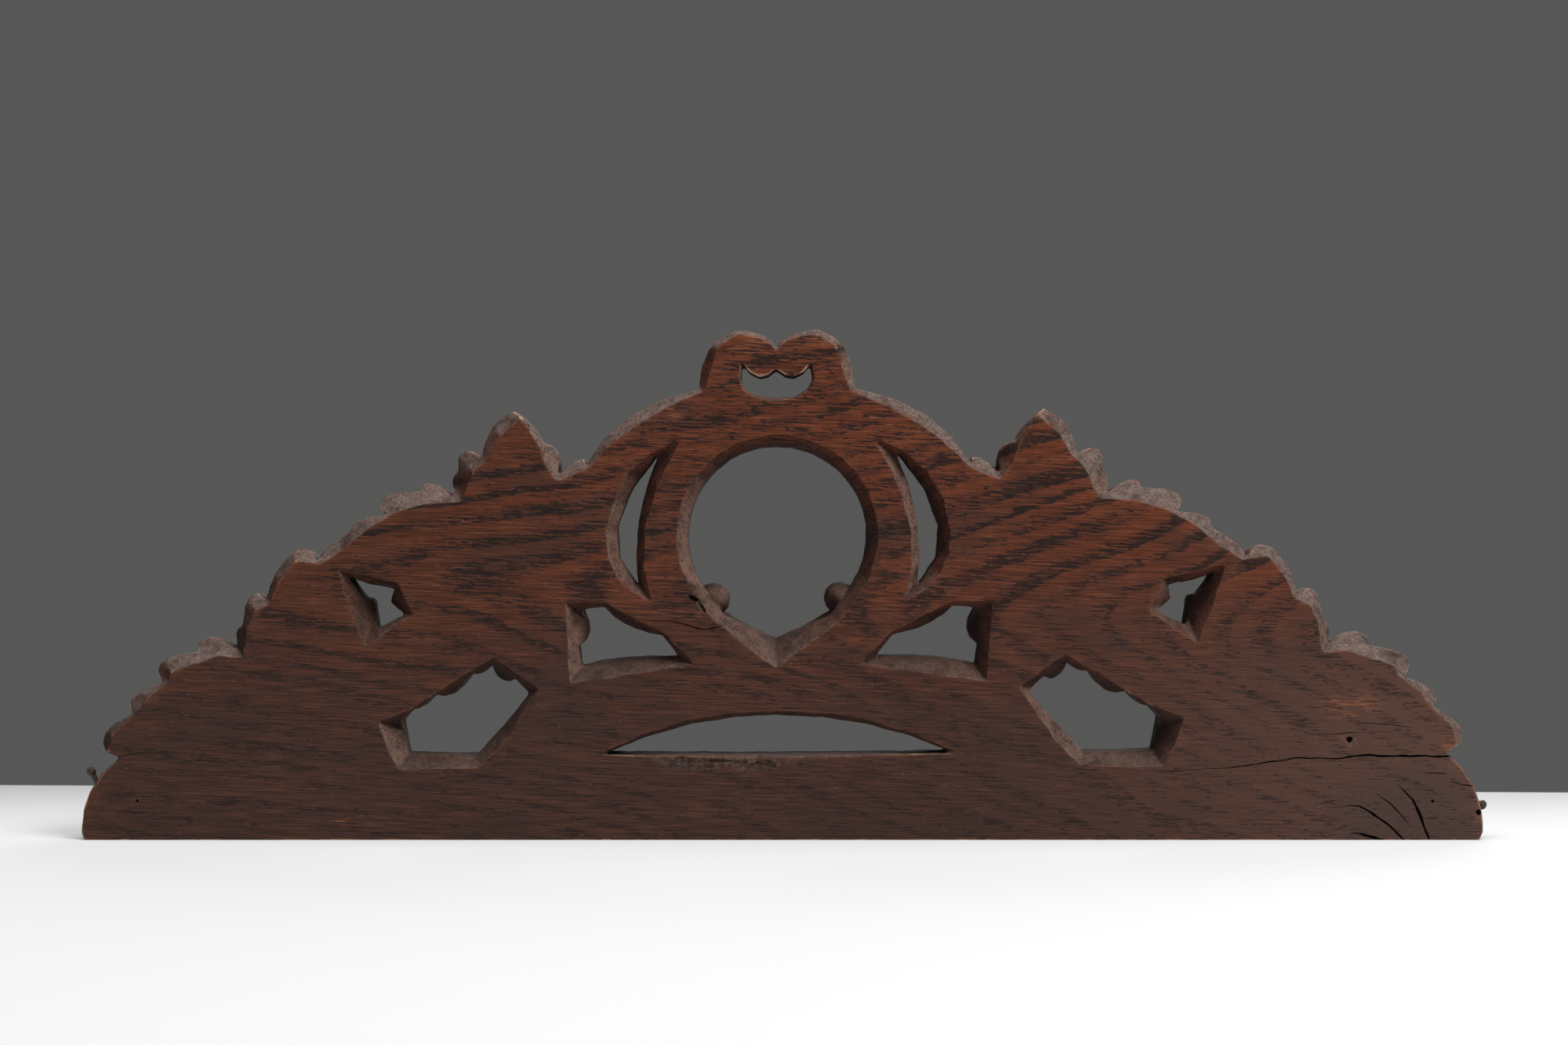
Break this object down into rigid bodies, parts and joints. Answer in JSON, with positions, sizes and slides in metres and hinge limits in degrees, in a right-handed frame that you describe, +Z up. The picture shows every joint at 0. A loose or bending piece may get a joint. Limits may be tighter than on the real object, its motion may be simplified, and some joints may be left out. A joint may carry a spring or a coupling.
{
  "type": "carved wood pediment",
  "caption": "Gable-shaped pediment of dark oak, pierced and carved as one board: leaves on both slopes, a ring in the middle under a double scroll, flat on the back.",
  "frame": {"origin": "middle of the flat underside, halfway through the board's thickness", "axes": "+Z up, +X along the board to the right as seen from the flat back, +Y from the flat back to the carved front"},
  "size_m": [0.8994, 0.042, 0.3261],
  "materials": {
    "dark_oak": "old dark stain, worn and dusty on the edges",
    "nail_iron": "rusted"
  },
  "bodies": {
    "root": {"pediment_board": "dark_oak", "nail_left": "nail_iron", "nail_right": "nail_iron"}
  },
  "joints": []
}
